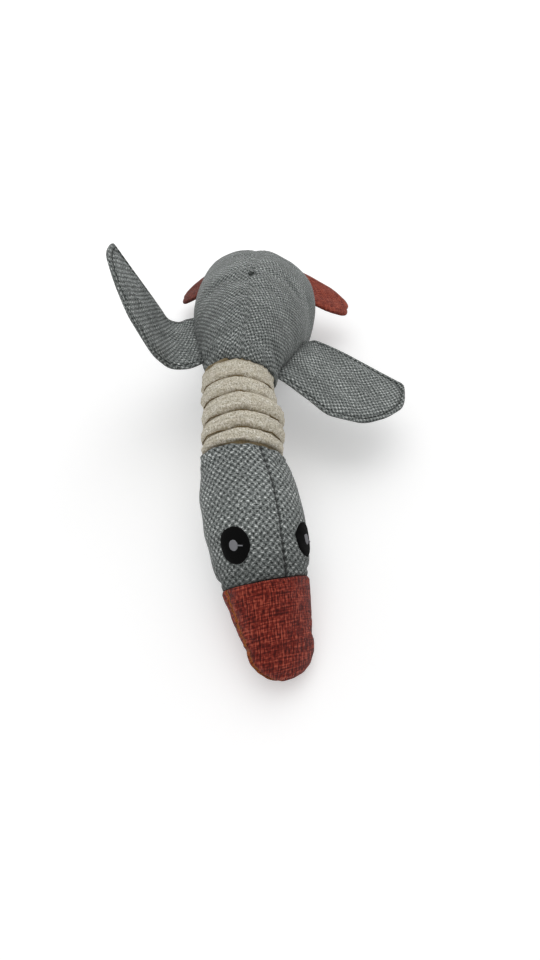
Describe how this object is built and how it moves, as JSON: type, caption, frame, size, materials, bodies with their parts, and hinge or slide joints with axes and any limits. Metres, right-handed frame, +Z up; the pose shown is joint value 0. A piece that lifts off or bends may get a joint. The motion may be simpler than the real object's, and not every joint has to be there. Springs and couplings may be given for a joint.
{
  "type": "stuffed dog toy",
  "caption": "Stuffed goose-shaped dog toy with a cloth trunk and head, a cinched plush neck, a red cloth bill, flat wings and feet, and a squeaker sewn inside.",
  "frame": {"origin": "on the floor, under the middle of the bounding box, the toy lying on its belly", "axes": "+Z up; -Y the way the bill points, so the toy's length runs along Y; +X the toy's own left side"},
  "size_m": [0.1856, 0.349, 0.1242],
  "materials": {
    "cloth": "open plain weave linen-look cloth, matt grey",
    "plush": "short cream velvety plush",
    "bill_cloth": "coarse slubby linen-look cloth, matt rust red",
    "foot_cloth": "coarse plain weave cloth, matt red",
    "felt": "matt black felt",
    "eye_light": "light grey embroidery thread",
    "thread": "grey sewing thread",
    "bill_thread": "orange-brown sewing thread",
    "stuffing": "white polyester fibre filling",
    "filling": "crinkly inner layer of the wings",
    "rubber": "soft moulded squeaker bellows",
    "plastic": "hard whistle and its reed"
  },
  "bodies": {
    "trunk": {"trunk_panel_left": "cloth", "trunk_panel_right": "cloth", "trunk_stuffing": "stuffing", "trunk_closing_stitch": "thread", "squeaker_whistle": "plastic", "squeaker_reed": "plastic"},
    "squeaker": {"squeaker_bellows": "rubber"},
    "neck_rib_1": {"neck_rib_1_sleeve": "plush", "neck_rib_1_stuffing": "stuffing", "neck_gather_thread_1": "thread"},
    "neck_rib_2": {"neck_rib_2_sleeve": "plush", "neck_rib_2_stuffing": "stuffing", "neck_gather_thread_2": "thread"},
    "neck_rib_3": {"neck_rib_3_sleeve": "plush", "neck_rib_3_stuffing": "stuffing", "neck_gather_thread_3": "thread"},
    "neck_rib_4": {"neck_rib_4_sleeve": "plush", "neck_rib_4_stuffing": "stuffing", "neck_gather_thread_4": "thread"},
    "neck_rib_5": {"neck_rib_5_sleeve": "plush", "neck_rib_5_stuffing": "stuffing"},
    "head": {"head_panel_left": "cloth", "head_panel_right": "cloth", "head_stuffing": "stuffing", "bill_upper": "bill_cloth", "bill_lower": "bill_cloth", "bill_stuffing": "stuffing", "bill_edge_thread": "bill_thread", "eye_left_disc": "felt", "eye_left_highlight": "eye_light", "eye_left_thread": "eye_light", "eye_right_disc": "felt", "eye_right_highlight": "eye_light", "eye_right_thread": "eye_light"},
    "wing_left": {"wing_left_filling": "filling", "wing_left_upper": "cloth", "wing_left_lower": "cloth", "wing_left_topstitch": "thread"},
    "wing_right": {"wing_right_filling": "filling", "wing_right_upper": "cloth", "wing_right_lower": "cloth", "wing_right_topstitch": "thread"},
    "foot_left": {"foot_left_top": "foot_cloth", "foot_left_bottom": "foot_cloth"},
    "foot_right": {"foot_right_top": "foot_cloth", "foot_right_bottom": "foot_cloth"}
  },
  "joints": [
    {"name": "neck_nod_1", "type": "hinge", "parent": "trunk", "child": "neck_rib_1", "pos_m": [-0.01805, -0.00713, 0.05686], "axis": [0.9994, 0.0349, 0], "range_deg": [-7, 7], "stiffness_Nm_per_rad": 1.5},
    {"name": "neck_turn_1", "type": "hinge", "parent": "neck_rib_1", "child": "neck_rib_2", "pos_m": [-0.01765, -0.01843, 0.05383], "axis": [0.009, -0.2587, 0.9659], "range_deg": [-7, 7], "stiffness_Nm_per_rad": 1.5},
    {"name": "neck_nod_2", "type": "hinge", "parent": "neck_rib_2", "child": "neck_rib_3", "pos_m": [-0.01729, -0.02885, 0.05103], "axis": [0.9994, 0.0349, 0], "range_deg": [-7, 7], "stiffness_Nm_per_rad": 1.5},
    {"name": "neck_turn_2", "type": "hinge", "parent": "neck_rib_3", "child": "neck_rib_4", "pos_m": [-0.01688, -0.04071, 0.04785], "axis": [0.009, -0.2587, 0.9659], "range_deg": [-7, 7], "stiffness_Nm_per_rad": 1.5},
    {"name": "neck_nod_3", "type": "hinge", "parent": "neck_rib_4", "child": "neck_rib_5", "pos_m": [-0.01652, -0.05093, 0.04511], "axis": [0.9994, 0.0349, 0], "range_deg": [-7, 7], "stiffness_Nm_per_rad": 1.5},
    {"name": "neck_turn_3", "type": "hinge", "parent": "neck_rib_5", "child": "head", "pos_m": [-0.01625, -0.05848, 0.04309], "axis": [0.009, -0.2587, 0.9659], "range_deg": [-7, 7], "stiffness_Nm_per_rad": 1.5},
    {"name": "wing_left_flap", "type": "hinge", "parent": "trunk", "child": "wing_left", "pos_m": [0.01478, 0.01802, 0.04991], "axis": [-0.3584, -0.9051, 0.2287], "range_deg": [-12, 45], "stiffness_Nm_per_rad": 0.15},
    {"name": "wing_right_flap", "type": "hinge", "parent": "trunk", "child": "wing_right", "pos_m": [-0.04964, 0.02266, 0.06138], "axis": [-0.196, 0.9732, -0.1201], "range_deg": [-45, 20], "stiffness_Nm_per_rad": 0.15},
    {"name": "foot_left_flex", "type": "hinge", "parent": "trunk", "child": "foot_left", "pos_m": [0.03039, 0.11981, 0.04142], "axis": [0.1725, -0.985, 0], "range_deg": [-15, 25], "stiffness_Nm_per_rad": 0.15},
    {"name": "foot_right_flex", "type": "hinge", "parent": "trunk", "child": "foot_right", "pos_m": [-0.04603, 0.15123, 0.0341], "axis": [0.51, 0.8602, 0], "range_deg": [-15, 25], "stiffness_Nm_per_rad": 0.15},
    {"name": "squeaker_press", "type": "slide", "parent": "trunk", "child": "squeaker", "axis": [0, 0, 1], "range_m": [-0.008, 0], "stiffness_N_per_m": 700, "deforming": ["squeaker_bellows"]}
  ],
  "couplings": [
    {"joint": "neck_nod_2", "follows": "neck_nod_1", "ratio": 1},
    {"joint": "neck_nod_3", "follows": "neck_nod_1", "ratio": 1},
    {"joint": "neck_turn_2", "follows": "neck_turn_1", "ratio": 1},
    {"joint": "neck_turn_3", "follows": "neck_turn_1", "ratio": 1}
  ]
}
